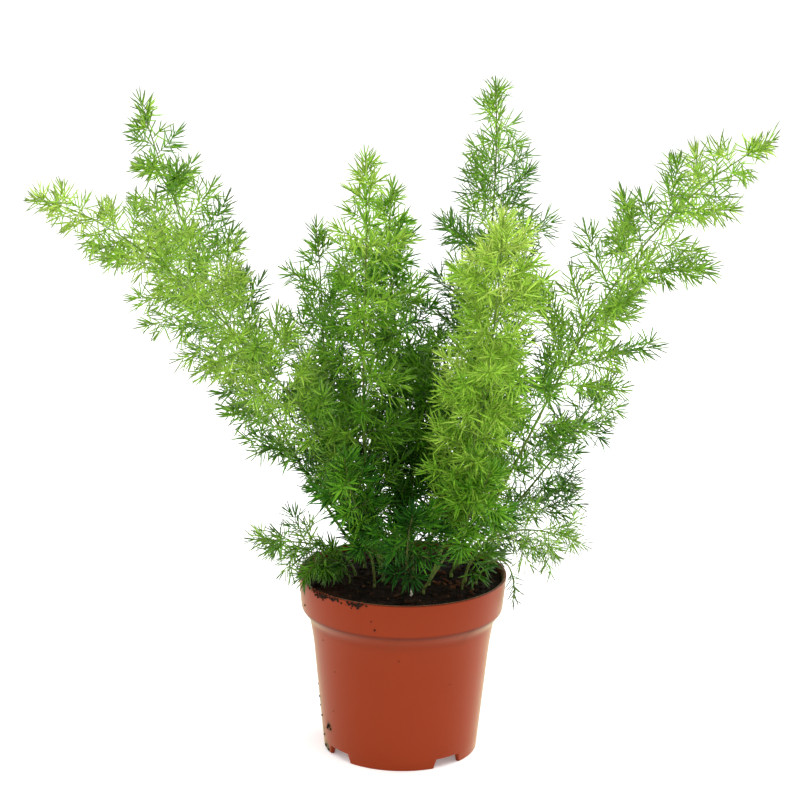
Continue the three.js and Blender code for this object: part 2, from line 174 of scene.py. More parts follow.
def black_card():
    material, wire, place = new_finish("black_card")
    weave = wire.noise(place, 90.0)
    close_finish(wire, {"Base Color": weave.mix(colour(10, 10, 10), colour(14, 14, 14)),
                        "Roughness": 0.95, "Specular IOR Level": 0.05})
    return material


def flat_face(name, corners, material):
    mesh = bpy.data.meshes.new(name)
    mesh.from_pydata(corners, [], [range(len(corners))])
    mesh.materials.append(material)
    face = bpy.data.objects.new(name, mesh)
    bpy.context.scene.collection.objects.link(face)
    return face


def make_table():
    turns = np.linspace(0, 2 * math.pi, TABLE_SIDES, endpoint=False)
    corners = [(TABLE_RADIUS * math.cos(a), TABLE_RADIUS * math.sin(a), 0) for a in turns]
    table = flat_face("white_table", corners, table_paint())


def make_flag():
    """The card that shades the front of the pot. The camera itself doesn't see it."""
    corners = [(side * CARD_HALF_WIDTH, CARD_PLACE, height) for side, height in
               [(-1, CARD_FOOT), (1, CARD_FOOT), (1, CARD_TOP), (-1, CARD_TOP)]]
    flag = flat_face("black_flag", corners, black_card())
    flag.visible_camera = False


def make_surround():
    world = bpy.data.worlds.new("white_surround")
    world.use_nodes = True
    light = world.node_tree.nodes["Background"].inputs
    light["Color"].default_value = (1, 1, 1, 1)
    light["Strength"].default_value = SURROUND_STRENGTH
    bpy.context.scene.world = world


def make_soft_box(name, place, size, power):
    light = bpy.data.lights.new(name, "AREA")
    light.shape = "DISK"
    light.size = size
    light.energy = power
    lamp = bpy.data.objects.new(name, light)
    lamp.location = place
    aim = Vector(BOX_AIM) - Vector(place)
    lamp.rotation_euler = aim.to_track_quat("-Z", "Y").to_euler()
    bpy.context.scene.collection.objects.link(lamp)


def make_camera():
    lens = bpy.data.cameras.new("camera")
    lens.sensor_width = 36
    lens.lens = CAMERA_LENS
    camera = bpy.data.objects.new("camera", lens)
    tilt = Matrix.Rotation(math.radians(CAMERA_TILT), 3, "X")
    turn = Matrix.Rotation(math.radians(CAMERA_TURN), 3, "Z")
    camera.rotation_euler = (tilt @ turn).to_euler()
    camera.location = CAMERA_PLACE
    bpy.context.scene.collection.objects.link(camera)
    bpy.context.scene.camera = camera


make_table()
make_surround()
make_flag()
make_soft_box("left_box", (-1.15, 0.5, 0.6), size=1.2, power=4)
make_soft_box("right_box", (1.05, 0.75, 0.55), size=1.2, power=15)
make_soft_box("overhead_box", (0.1, -0.6, 1.9), size=1.4, power=12)
make_camera()
bpy.context.scene.view_settings.view_transform = "Standard"

# ---------------------------------------------------------------- pot
# A 12 cm nursery pot, injection moulded in terracotta-coloured polypropylene: a thin round
# wall with a wide band at the top, a foot ring with four notches, and a floor with drains.

MM = 0.001
POT_SIDES = 192
POT_HEIGHT = 105
# Edges that bend more than this stay crisp.
POT_CREASE = math.radians(38)
# A wall is its height and radius at the foot, the flare, the shoulder, the band and the lip.
OUTER_WALL = [(0, 44.3), (66, 51), (79, 53.4), (85, 58), (105, 60)]
INNER_WALL = [(7.2, 43.1), (66.6, 49.8), (79.6, 52.2), (85.6, 56.8), (105, 58.4)]
LIP_INSIDE = 58.3
# The foot ring's inside, the floor's two heights, and the small round face that closes it.
FOOT_INSIDE = 41.9
FLOOR_UNDERSIDE = 6.0
FLOOR_TOP = 7.2
HUB = 1.0
# How far the profile's corners are cut back, from the floor's underside round to its top.
CORNER_CUTS = [0.25, 0.25, 0.7, 0.3, 6.0, 2.4, 1.3, 0.75, 0.75, 1.2, 2.0, 6.0, 1.5]
# The notches: the turn of the first one, their height, and half their turn at top and foot.
NOTCH_TURN = 38
NOTCH_HEIGHT = 5.4
NOTCH_HALF_TURNS = (10.1, 12.3)
ABOVE_NOTCHES = 8
# The drains are in line with the notches: their circle, and how they are cut.
DRAIN_CIRCLE = 28
DRAIN_RADIUS = 4
DRAIN_MIDDLE = 6.6
DRAIN_CUT = 6
# Dried mud, and last a dark patch on the foot's lower edge: its turn from the front, height,
# reach in metres, and how well it covers.
MUD = [(-63, 17.5, 0.0042, 0.85), (-80, 28, 0.0045, 0.6), (-84, 35, 0.004, 0.5),
       (-78, 12, 0.0045, 0.6), (-71, 2, 0.0055, 0.9)]


def wall_radius(wall, height):
    """A wall's radius at a height, or at many heights."""
    heights, radii = zip(*wall)
    return np.interp(height, heights, radii)


def wall_point(wall, turn, height):
    """The point of a wall at a turn from the front, in degrees, and a height."""
    angle = math.radians(turn)
    radius = wall_radius(wall, min(height, POT_HEIGHT))
    return np.array([radius * math.sin(angle), -radius * math.cos(angle), height])


def rounded(corners, cuts, steps=4):
    """The profile with each corner cut back by its length and bridged by a curve."""
    corners = [np.array(corner, float) for corner in corners]
    points = [corners[0]]
    for before, corner, after, cut in zip(corners, corners[1:], corners[2:], cuts):
        start = corner + (before - corner) * cut / np.linalg.norm(before - corner)
        end = corner + (after - corner) * cut / np.linalg.norm(after - corner)
        for t in np.linspace(0, 1, steps + 1):
            points.append((1 - t) ** 2 * start + 2 * t * (1 - t) * corner + t * t * end)
    points.append(corners[-1])
    return points


def pot_profile(rise):
    """Radius and height from the middle of the underside round to the middle of the floor,
    where a notch lifts the foot by rise."""
    outside = [(wall_radius(OUTER_WALL, height), height) for height in (rise, ABOVE_NOTCHES)]
    outside += [(radius, height) for height, radius in OUTER_WALL[1:]]
    inside = [(radius, height) for height, radius in reversed(INNER_WALL[:-1])]
    corners = [(HUB, FLOOR_UNDERSIDE), (FOOT_INSIDE, FLOOR_UNDERSIDE), (FOOT_INSIDE, rise),
               *outside, (LIP_INSIDE, POT_HEIGHT), *inside, (HUB, FLOOR_TOP)]
    return rounded(corners, CORNER_CUTS)


def pot_turns():
    """The angles of the pot's columns, with the notches' corners among them."""
    turns = set(np.linspace(0, 360, POT_SIDES, endpoint=False).round(3))
    for quarter in range(4):
        for half in NOTCH_HALF_TURNS:
            middle = NOTCH_TURN + 90 * quarter
            turns |= {round((middle - half) % 360, 3), round((middle + half) % 360, 3)}
    return sorted(turns)


def notch_rise(turn):
    """How far the notches lift the foot at a turn."""
    from_middle = abs((turn - NOTCH_TURN + 45) % 90 - 45)
    top, foot = NOTCH_HALF_TURNS
    return NOTCH_HEIGHT * min(1, max(0, (foot - from_middle) / (foot - top)))


def turned_skin(profiles, turns):
    """Corners and faces of a closed turned shape, one profile for each angle."""
    corners = []
    for profile, turn in zip(profiles, turns):
        angle = math.radians(turn)
        corners += [(r * math.sin(angle), -r * math.cos(angle), z) for r, z in profile]
    columns, rows = len(turns), len(profiles[0])
    faces = []
    for i in range(columns):
        a, b = i * rows, (i + 1) % columns * rows
        faces += [(a + j, b + j, b + j + 1, a + j + 1) for j in range(rows - 1)]
    faces.append([i * rows for i in reversed(range(columns))])
    faces.append([i * rows + rows - 1 for i in range(columns)])
    return corners, faces


def make_piece(name, corners, faces, material):
    """A smooth mesh from corners in millimetres."""
    mesh = bpy.data.meshes.new(name)
    mesh.from_pydata(np.asarray(corners, float) * MM, [], faces)
    mesh.shade_smooth()
    mesh.materials.append(material)
    piece = bpy.data.objects.new(name, mesh)
    bpy.context.scene.collection.objects.link(piece)
    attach(piece, "root")
    return piece


def cut_drains(pot):
    """Four round holes through the floor."""
    cutter = bmesh.new()
    reach, radius = DRAIN_CIRCLE * MM, DRAIN_RADIUS * MM
    for quarter in range(4):
        angle = math.radians(NOTCH_TURN + 90 * quarter)
        place = Matrix.Translation((reach * math.sin(angle), -reach * math.cos(angle),
                                    DRAIN_MIDDLE * MM))
        bmesh.ops.create_cone(cutter, cap_ends=True, segments=32, radius1=radius,
                              radius2=radius, depth=DRAIN_CUT * MM, matrix=place)
    mesh = bpy.data.meshes.new("drain_cutter")
    cutter.to_mesh(mesh)
    cutter.free()
    tool = bpy.data.objects.new("drain_cutter", mesh)
    bpy.context.scene.collection.objects.link(tool)
    hole = pot.modifiers.new("drains", "BOOLEAN")
    hole.operation = "DIFFERENCE"
    hole.solver = "EXACT"
    hole.object = tool
    bpy.context.view_layer.update()
    shaped = pot.evaluated_get(bpy.context.evaluated_depsgraph_get())
    drained = bpy.data.meshes.new_from_object(shaped)
    pot.modifiers.remove(hole)
    pot.data = drained
    bpy.data.objects.remove(tool)


def pot_plastic():
    """Matt orange-brown plastic, a little cloudy, dusted with peat and with a smear of dried
    mud. Painted shade darkens the shoulder and the top of the lip, and a painted shadow lies
    under the band's edge. The shoulder is dusted more heavily, which is partly painted shade
    too."""
    material, wire, place = new_finish("terracotta_plastic")
    height = wire.node("SeparateXYZ", {}, {0: place}).beside(2)
    cloud = wire.noise(place, 14.0, 4.0)
    shade = cloud.mix(colour(136, 44, 1), colour(145, 48, 2))
    long_way = wire.node("VectorMath", {"operation": "MULTIPLY"},
                         {0: place, 1: (1.0, 1.0, 0.06)})
    streak = wire.noise(long_way, 160.0, 3.0).ramp(0.56, 0.72)
    shade = (streak * 0.10).mix(shade, colour(128, 38, 14))

    # The shoulder under the band faces down. Painted shade darkens it, and the heavier dusting
    # there is partly painted shade too. A painted shadow lies under the band's edge, and
    # painted shade on top of the lip.
    shoulder = height.ramp(0.073, 0.081) * height.ramp(0.0852, 0.087, 1.0, 0.0)
    band_edge_shadow = height.ramp(0.082, 0.0845) * height.ramp(0.085, 0.0862, 1.0, 0.0)
    lip = height.ramp(0.098, 0.105)
    lip_top_shade = height.ramp(0.1042, 0.1048)
    dust_and_shade = wire.noise(place, 55.0, 5.0, 0.65).ramp(0.52, 0.75)
    shade = (dust_and_shade * (shoulder * 0.35 + lip * 0.3 + 0.06)).mix(shade, colour(96, 58, 38))
    # The painted shade on the shoulder and the lip top, and the painted shadow under the band's
    # edge.
    painted_shade = shoulder * 0.22 + band_edge_shadow * 0.4 + lip_top_shade * 0.6
    shade = painted_shade.mix(shade, colour(76, 17, 1))

    ragged = wire.noise(place, 260.0, 5.0, 0.7)
    mud = 0.0
    for turn, rise, wide, cover in MUD:
        middle = wall_point(OUTER_WALL, turn, rise) * MM
        away = wire.node("VectorMath", {"operation": "DISTANCE"}, {0: place, 1: middle}, 1)
        mud = mud + (away + 0.006 * ragged).ramp(wide + 0.003, wide, 0.0, cover)
    shade = mud.mix(shade, colour(58, 36, 14))
    roughness = 0.42 + 0.12 * cloud + 0.2 * dust_and_shade * shoulder + 0.35 * mud
    grain = wire.noise(place, 900.0, 2.0)
    close_finish(wire, {"Base Color": shade, "Roughness": roughness,
                        "Normal": wire.bump(grain, 0.25, 0.0002),
                        "Specular IOR Level": 0.17, "Sheen Weight": 0.68,
                        "Sheen Roughness": 0.29, "Sheen Tint": (0.97, 1.0, 0.6, 1.0)})
    return material


def make_pot():
    turns = pot_turns()
    profiles = [pot_profile(notch_rise(turn)) for turn in turns]
    pot = make_piece("nursery_pot", *turned_skin(profiles, turns), pot_plastic())
    cut_drains(pot)
    pot.data.set_sharp_from_angle(angle=POT_CREASE)
    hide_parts("pot")


make_pot()

# ---------------------------------------------------------------- soil
# Dark peat pressed into the pot by hand, with a crumbled surface, bits of bark, pale roots
# and a few grains of perlite. It rests on the pot's floor and against its wall.

# The surface: how finely it is cut up, its radius, and its height at the edge and the middle.
SOIL_SECTORS = 260
SOIL_RINGS = 70
SOIL_REACH = 57.0
SOIL_EDGE = 101.5
SOIL_MIDDLE = 103.0
# Below it the peat follows the pot's wall through these heights, a little clear of it.
SOIL_FOOT = 7.5
SOIL_SIDE_HEIGHTS = (98, 86, 79, 66, 40, SOIL_FOOT)
SOIL_CLEARANCE = 0.15
CRUMBS = 520
CRUMB_REACH = 56.5
CHIPS_AMONG_CRUMBS = 0.1
# Perlite and straw on the peat: where they lie, their size and their tone.
PALE_BITS = [(-38, -7, 1.0, 0.95), (-22, -20, 0.9, 0.74), (-8, -39, 0.6, 0.72),
             (26, -34, 0.6, 0.74), (40, -22, 0.7, 0.8), (10, -42, 0.5, 0.78),
             (-30, 25, 0.8, 0.95), (20, 40, 0.9, 0.97), (44, 10, 0.7, 0.95),
             (-12, 46, 0.8, 0.9), (2, -30, 0.5, 0.72), (-46, 6, 0.7, 0.76)]
# A pale sprout at the front: the height and the size of its three joints.
SPROUT_PLACE = (5, -36)
SPROUT = [(0.5, 1.1), (2.4, 0.8), (4.2, 0.6)]
# A patch of bark: its bits, its middle and how far it spreads.
BARK_BITS = 16
BARK_PLACE = (30, -14)
BARK_SPREAD = (7, 3)

soil_draw = np.random.default_rng(11)


def soil_level(x, y):
    """Height of the trodden surface, with its hollows, lumps and granules."""
    share = min(1.0, math.hypot(x, y) / SOIL_REACH)
    height = SOIL_MIDDLE + (SOIL_EDGE - SOIL_MIDDLE) * share * share
    height += 1.1 * noise.noise((x * 0.06, y * 0.06, 1.5))
    height += 0.9 * noise.noise((x * 0.21, y * 0.21, 4.0))
    granule = noise.voronoi((x * 0.38, y * 0.38, 2.0))[0]
    height += 0.9 * (0.6 - granule[0]) + 0.35 * noise.noise((x * 1.3, y * 1.3, 7.0))
    return height


def make_soil_bed(material):
    """The surface is a fine round grid; below it the body follows the pot's inner wall."""
    turns = np.linspace(0, 2 * math.pi, SOIL_SECTORS, endpoint=False)
    corners = [(0, 0, soil_level(0, 0))]
    for ring in range(1, SOIL_RINGS + 1):
        radius = SOIL_REACH * (ring / SOIL_RINGS) ** 0.85
        corners += [(radius * math.cos(a), radius * math.sin(a),
                     soil_level(radius * math.cos(a), radius * math.sin(a))) for a in turns]
    for height in SOIL_SIDE_HEIGHTS:
        radius = wall_radius(INNER_WALL, height) - SOIL_CLEARANCE
        corners += [(radius * math.cos(a), radius * math.sin(a), height) for a in turns]
    corners.append((0, 0, SOIL_FOOT))
    faces = [(0, 1 + i, 1 + (i + 1) % SOIL_SECTORS) for i in range(SOIL_SECTORS)]
    rings = SOIL_RINGS + len(SOIL_SIDE_HEIGHTS)
    for ring in range(rings - 1):
        a, b = 1 + ring * SOIL_SECTORS, 1 + (ring + 1) * SOIL_SECTORS
        for i in range(SOIL_SECTORS):
            k = (i + 1) % SOIL_SECTORS
            faces.append((a + i, b + i, b + k, a + k))
    last = 1 + (rings - 1) * SOIL_SECTORS
    faces += [(len(corners) - 1, last + (i + 1) % SOIL_SECTORS, last + i)
              for i in range(SOIL_SECTORS)]
    bed = make_piece("peat_bed", corners, faces, material)
    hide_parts("soil")


def lump_form():
    """A ball of 42 corners that every crumb is squeezed from."""
    ball = bmesh.new()
    bmesh.ops.create_icosphere(ball, subdivisions=2, radius=1.0)
    corners = np.array([corner.co for corner in ball.verts])
    faces = np.array([[corner.index for corner in face.verts] for face in ball.faces])
    ball.free()
    return corners, faces


LUMP_CORNERS, LUMP_FACES = lump_form()


def lump(draw, middle, size, stretch=(1, 1, 0.75), dents=0.28):
    """One crumb: the ball stretched, turned and dented."""
    swell = 1 + dents * np.array([noise.noise(Vector(c) * 1.7 + Vector(middle)) for c in
                                  LUMP_CORNERS])[:, None]
    spin = Matrix.Rotation(draw.uniform(0, 6.283), 3, "Z")
    spin @= Matrix.Rotation(draw.uniform(-0.5, 0.5), 3, "X")
    return (LUMP_CORNERS * swell * stretch * size) @ np.array(spin).T + middle


def make_lumps(name, lumps, tones, material):
    """Many crumbs as one mesh. tones holds a number for each crumb's colour."""
    corners = np.concatenate(lumps)
    faces = np.concatenate([LUMP_FACES + i * len(LUMP_CORNERS) for i in range(len(lumps))])
    piece = make_piece(name, corners, faces, material)
    tone = piece.data.attributes.new("tone", "FLOAT", "POINT")
    tone.data.foreach_set("value", np.repeat(tones, len(LUMP_CORNERS)))
    return piece


def peat():
    """Nearly black moist peat with browner and redder crumbs."""
    material, wire, place = new_finish("peat")
    clump = wire.noise(place, 120.0, 4.0, 0.6)
    fine = wire.noise(place, 1500.0, 4.0, 0.7)
    warm = wire.noise(place, 38.0, 2.0).ramp(0.52, 0.68)
    shade = clump.ramp(0.35, 0.7).mix(colour(17, 13, 9), colour(44, 31, 21))
    shade = (warm * 0.5).mix(shade, colour(66, 36, 20))
    close_finish(wire, {"Base Color": shade.times(0.7 + 0.7 * fine), "Roughness": 0.95,
                        "Normal": wire.bump(fine, 0.8, 0.0005), "Specular IOR Level": 0.12})
    return material


def crumb_finish():
    """Loose bits by their tone: peat, bark, straw-coloured fibre and white perlite."""
    material, wire, place = new_finish("loose_bits")
    tone = wire.node("Attribute", {"attribute_name": "tone"}, output=2)
    fine = wire.noise(place, 1200.0, 4.0, 0.7)
    shade = wire.node("ValToRGB", {"stops": [
        (0.0, colour(24, 17, 12)), (0.45, colour(58, 38, 25)), (0.7, colour(98, 56, 32)),
        (0.85, colour(148, 112, 72)), (1.0, colour(222, 216, 200))]}, {0: tone})
    close_finish(wire, {"Base Color": shade.times(0.65 + 0.7 * fine), "Roughness": 0.9,
                        "Normal": wire.bump(fine, 0.7, 0.0003), "Specular IOR Level": 0.12})
    return material


def make_crumbs(material):
    """Round crumbs of peat, with flat chips of bark among them."""
    lumps, tones = [], []
    for _ in range(CRUMBS):
        radius = CRUMB_REACH * math.sqrt(soil_draw.uniform(0, 1))
        turn = soil_draw.uniform(0, 2 * math.pi)
        x, y = radius * math.cos(turn), radius * math.sin(turn)
        size = 0.5 + 1.3 * soil_draw.uniform(0, 1) ** 2.5
        x, y = np.array([x, y]) * min(1, (SOIL_REACH - size) / max(radius, 1))
        chip = soil_draw.uniform(0, 1) < CHIPS_AMONG_CRUMBS
        stretch = (1.9, 0.7, 0.45) if chip else (1, 0.85, 0.75)
        height = soil_level(x, y) + 0.25 * size
        lumps.append(lump(soil_draw, (x, y, height), size, stretch))
        tone = soil_draw.uniform(0, 0.5)
        tones.append(soil_draw.uniform(0.5, 0.68) if chip else tone)
    crumbs = make_lumps("peat_crumbs", lumps, tones, material)


def make_pale_bits(material):
    """Perlite and straw lying on the peat, a pale sprout at the front and a patch of bark."""
    lumps, tones = [], []
    for x, y, size, tone in PALE_BITS:
        lumps.append(lump(soil_draw, (x, y, soil_level(x, y) + 0.5 * size), size))
        tones.append(tone)
    for rise, size in SPROUT:
        spot = (*SPROUT_PLACE, soil_level(*SPROUT_PLACE) + rise)
        lumps.append(lump(soil_draw, spot, size, (0.7, 0.7, 1.6)))
        tones.append(0.98)
    for _ in range(BARK_BITS):
        x, y = soil_draw.normal(BARK_PLACE, BARK_SPREAD)
        lumps.append(lump(soil_draw, (x, y, soil_level(x, y) + 0.3), soil_draw.uniform(0.9, 2),
                          (1.2, 0.9, 0.35)))
        tones.append(soil_draw.uniform(0.55, 0.7))
    bits = make_lumps("perlite_grains", lumps, tones, material)


make_soil_bed(peat())
loose_bits = crumb_finish()
make_crumbs(loose_bits)
make_pale_bits(loose_bits)

# ---------------------------------------------------------------- spilt peat
# Crumbs of the same peat that fell over the lip when the pot was filled, and specks that
# dried on its wall. They cling to the plastic.

# A clump's turn from the front, its reach either way, its number of crumbs and its height.
CLUMPS = [(-48, 11, 95, 104.9), (-26, 5.0, 42, 104.3)]
# How far its crumbs slid down from there.
CLUMP_FALL = 1.3
# A speck's turn from the front, its height and its size.
SPECKS = [(-71, 90.5, 0.75), (-59, 72.5, 0.45), (-17, 94.5, 0.5), (-15, 89.5, 0.75),
          (-1.5, 69.5, 0.4), (-54.5, 29.5, 0.4), (-49, 55.5, 0.4), (-83, 38, 0.6),
          (-81, 31, 0.8), (-82, 25, 0.6), (-78, 20, 0.9), (-63, 18, 1.3), (-66, 16, 0.9),
          (-60.5, 16.5, 0.8), (-75, 9, 0.8), (-68, 1.5, 1.0), (-74, 2.5, 1.1), (34, 52, 0.35),
          (118, 60, 0.5), (175, 40, 0.5)]
# Crumbs above this height lie on top of the lip, its middle given as a share of its radius.
ON_THE_LIP = 104.5
LIP_MIDDLE = 59 / 60
HIGHEST_CRUMB = 105.3


def make_spilt_peat(material):
    draw = np.random.default_rng(23)
    lumps, tones = [], []
    spill = [(draw.normal(turn, wide / 2), height - abs(draw.normal(0, CLUMP_FALL)),
              draw.uniform(0.3, 1.0)) for turn, wide, count, height in CLUMPS
             for _ in range(count)]
    for turn, height, size in spill + SPECKS:
        height = min(height, HIGHEST_CRUMB)
        middle = wall_point(OUTER_WALL, turn, height)
        if height > ON_THE_LIP:
            middle[:2] *= LIP_MIDDLE
        lumps.append(lump(draw, middle, size, (1, 0.7, 0.8), 0.6))
        tones.append(draw.uniform(0.0, 0.4))
    spilt = make_lumps("spilt_peat", lumps, tones, material)


make_spilt_peat(loose_bits)

# ---------------------------------------------------------------- fronds
# Arching stems that rise from the crown in the soil. Each carries branchlets all round with
# short side twigs, and all of them carry soft needles in whorls, up to a pointed brush at the
# stem's tip.

# A frond's stem is a smooth curve drawn from four points, the first and last on it.
# - branchlets is the number of main branchlets, and turn where the first one stands round the
#   stem, in degrees
# - bare is the length above the soil without main branchlets, with small ones on it from low
# - fill is roughly the distance between the smaller branchlets that fill up the main ones
# - first is a branchlet's length at the tip, grow its gain with the way down, reach its most
# - drop is how much the branchlets hang
# - needle is the needles' length; slim and grey are their thickness and the greyness of their
#   tips, with 1 as usual
# - age, from 0 for young to 1 for old, is given at the root and at the tip; its old, dark tones
#   low down and deep inside the plant are partly painted shade
FRONDS = [
    dict(name="frond_far_left",
         stem=[(-13, 2, 105), (0, -6, 150), (-146, -40, 338), (-207, -58, 330)],
         branchlets=15, bare=80, turn=310, low=50, fill=4.1, reach=37, grow=0.33, first=6,
         needle=9.5, slim=0.86, age_and_shade=(0.5, 0.1)),
    dict(name="frond_inner_left",
         stem=[(-25, 30, 105), (-69, 42, 159), (-132, 54, 286), (-155, 62, 370)],
         branchlets=16, bare=54, turn=230, low=36, fill=4.2, reach=38, grow=0.38, first=7,
         needle=9.5, age_and_shade=(0.62, 0.35)),
    dict(name="frond_left_centre",
         stem=[(-22, 14, 105), (-52, 26, 167), (-44, 35, 237), (-53, 45, 302)],
         branchlets=10, bare=25, turn=30, fill=4.3, reach=32, grow=0.4, first=8,
         needle=9.5, grey=0.8, slim=0.86, age_and_shade=(0.82, 0.45)),
    dict(name="frond_centre",
         stem=[(-11, -10, 105), (-32, -13, 188), (-19, -16, 271), (-24, -20, 355)],
         branchlets=13, bare=35, turn=310, low=26, fill=3.4, reach=34, grow=0.34, first=8,
         needle=9.5, grey=0.7, slim=0.92, age_and_shade=(0.78, 0.2)),
    dict(name="frond_behind_centre",
         stem=[(-1, 30, 105), (18, 46, 171), (-20, 62, 243), (-8, 73, 322)],
         branchlets=10, bare=30, turn=155, low=8, fill=2.3, reach=34, grow=0.36, first=7,
         needle=9.5, grey=0.5, age_and_shade=(0.87, 0.34)),
    dict(name="frond_tall",
         stem=[(19, 12, 105), (35, 21, 197), (55, 30, 293), (48, 40, 388)],
         branchlets=13, bare=40, turn=105, fill=3.8, reach=39, grow=0.33, first=6,
         needle=10.5, slim=0.84, age_and_shade=(0.85, 0.35)),
    dict(name="frond_front",
         stem=[(15, -18, 105), (39, -36, 175), (50, -56, 252), (50, -79, 334)],
         branchlets=12, bare=38, turn=285, low=32, fill=1.9, reach=32, grow=0.45, first=9,
         needle=9.5, grey=0.5, slim=0.86, age_and_shade=(0.54, 0.0)),
    dict(name="frond_right",
         stem=[(28, 0, 105), (85, -6, 197), (101, -4, 307), (206, 8, 360)],
         branchlets=15, bare=67, turn=255, low=34, fill=4.7, reach=48, grow=0.46, first=5,
         needle=10.5, slim=0.95, age_and_shade=(0.62, 0.22)),
    dict(name="frond_right_low",
         stem=[(30, 16, 105), (70, 36, 134), (97, 54, 171), (124, 71, 207)],
         branchlets=9, bare=28, turn=60, fill=3.4, reach=34, grow=0.42, first=8,
         needle=9.5, grey=1.2, slim=0.86, age_and_shade=(0.72, 0.5)),
    dict(name="spray_right",
         stem=[(36, -8, 105), (41, -16, 140), (75, -23, 146), (105, -31, 131)],
         branchlets=6, bare=34, turn=130, low=22, fill=3.6, reach=28, grow=0.7, first=8,
         needle=9, drop=0.45, grey=1.4, slim=0.6, age_and_shade=(0.5, 0.3)),
    dict(name="spray_left",
         stem=[(-27, -4, 105), (-35, -9, 130), (-64, -18, 126), (-89, -24, 132)],
         branchlets=6, bare=20, turn=285, low=8, fill=3.2, reach=22, grow=0.6, first=9,
         needle=9.5, drop=0.4, grey=1.3, slim=0.78, age_and_shade=(0.58, 0.42)),
    dict(name="sprig_middle",
         stem=[(6, 8, 105), (0, 16, 150), (10, 22, 200), (20, 31, 246)],
         branchlets=7, bare=20, turn=0, low=5, fill=1.9, reach=30, grow=0.4, first=8,
         needle=9.5, grey=0.3, slim=0.95, age_and_shade=(0.8, 0.62)),
    dict(name="sprig_front_left",
         stem=[(-16, -20, 105), (-16, -33, 134), (-32, -46, 163), (-33, -60, 195)],
         branchlets=5, bare=18, turn=255, low=20, reach=26, grow=0.5, first=9,
         needle=10, grey=0.4, age_and_shade=(0.85, 0.68)),
    # This sprig's old, dark tones are painted shade low under the fronds above it.
    dict(name="sprig_front",
         stem=[(1, -24, 105), (3, -45, 125), (1, -65, 148), (6, -80, 168)],
         branchlets=5, bare=18, turn=50, low=22, fill=4.0, reach=26, grow=0.5, first=9,
         needle=10, grey=0.3, age_and_shade=(0.97, 0.88)),
    dict(name="sprig_front_right",
         stem=[(12, -30, 105), (27, -40, 132), (41, -52, 163), (49, -64, 190)],
         branchlets=5, bare=30, turn=75, low=34, reach=26, grow=0.5, first=9,
         needle=10, grey=0.4, age_and_shade=(0.85, 0.5)),
    dict(name="tuft_right",
         stem=[(34, -22, 105), (35, -26, 117), (43, -32, 132), (54, -40, 130)],
         branchlets=3, bare=10, turn=20, reach=16, grow=0.5, first=8,
         needle=9, age_and_shade=(0.8, 0.6)),
    dict(name="tuft_left",
         stem=[(-30, -14, 105), (-38, -16, 121), (-52, -24, 124), (-57, -31, 104)],
         branchlets=3, bare=8, turn=120, low=5, fill=1.8, reach=16, grow=0.5, first=8,
         needle=9, drop=0.3, age_and_shade=(0.75, 0.6)),
    # The two sprigs at the back are given old, dark tones as painted shade.
    dict(name="sprig_back_left",
         stem=[(-14, 38, 105), (-23, 51, 141), (-43, 68, 179), (-50, 80, 219)],
         branchlets=6, bare=22, turn=0, low=5, fill=2.2, reach=30, grow=0.5, first=9,
         needle=9.5, grey=0.4, age_and_shade=(0.95, 0.8)),
    dict(name="sprig_back_right",
         stem=[(14, 38, 105), (26, 51, 142), (51, 68, 180), (60, 80, 221)],
         branchlets=6, bare=22, turn=105, low=5, fill=2.2, reach=30, grow=0.5, first=9,
         needle=9.5, grey=0.4, age_and_shade=(0.95, 0.8)),
    dict(name="tuft_over_lip",
         stem=[(42, -14, 105), (50, -15, 124), (66, -13, 124), (64, -12, 88)],
         branchlets=0, bare=0, turn=50, needle=7, grey=1.5, slim=0.75, age_and_shade=(0.7, 0.65)),
]
USUAL_LOW = 12
USUAL_FILL = 2.8

# The stem: the height of its root, its thickness, how finely it is cut up, and its knots.
STEM_ROOT = 86
STEM_RADIUS = 0.95
STEM_SIDES = 10
STEM_RINGS = 60
STEM_KNOTS = 0.06
# The foot of the stem: where it bends, how long it is, and its thickness from root to top.
FOOT_MIDDLE = 96
FOOT_LENGTH = 19
FOOT_THICKNESS = np.array([1.3, 1.2, 1.1, 1.0])
# A twig's thickness, the points that its curve is known by, and the stretch over which its
# direction is taken.
TWIG_RADIUS = 0.3
TWIG_POINTS = 200
STRIDE = 0.8
# Main branchlets stand a golden angle apart, with differences of their own.
GOLDEN_ANGLE = math.radians(137.5)
BRANCH_ANGLE = 66
BRANCH_BEND = 0.25
OWN_TURN = 0.3
OWN_LENGTH = 0.15
OWN_ANGLE = 8
# The ones between them go on round the stem, some shorter, some at other angles.
FILL_ROUND = 1.12
FILL_SWING = 0.5
FILL_SHARES = (0.65, 1.08)
FILL_ANGLE = 14
# The stem ends in a brush, with short branchlets in it. Small ones stand on the stem's foot.
BRUSH = 22
TIP_START = 11
TIP_STEP = 2.4
TIP_ROUND = 2.9
TIP_ANGLES = (45, 70)
UNDER_STEP = 3.0
UNDER_ROUND = 2.1
UNDER_LENGTHS = (14, 26)
UNDER_ANGLES = (50, 75)
# Side twigs begin at this share of a branchlet, and end before its tip.
SIDE_START = 0.3
SIDE_END = 9
SIDE_STEP = 6.5
SIDE_ANGLE = 46
SIDE_SHORTEST = 5
SIDE_LONGEST = 16
# Needles lean from their twig by this angle, and further forward towards its tip.
NEEDLE_ANGLE = 62
NEEDLE_FORWARD = 14
NEEDLE_LEAN_SPREAD = 13
TIP_LEANS = (18, 44)
NEEDLE_LENGTHS = (0.9, 1.3)
NEEDLE_BENDS = (-0.05, 0.22)
NEEDLE_THICK = 0.5
NEEDLE_FLAT = 0.75
NEEDLE_START = 2.5
NEEDLE_END = 5.5
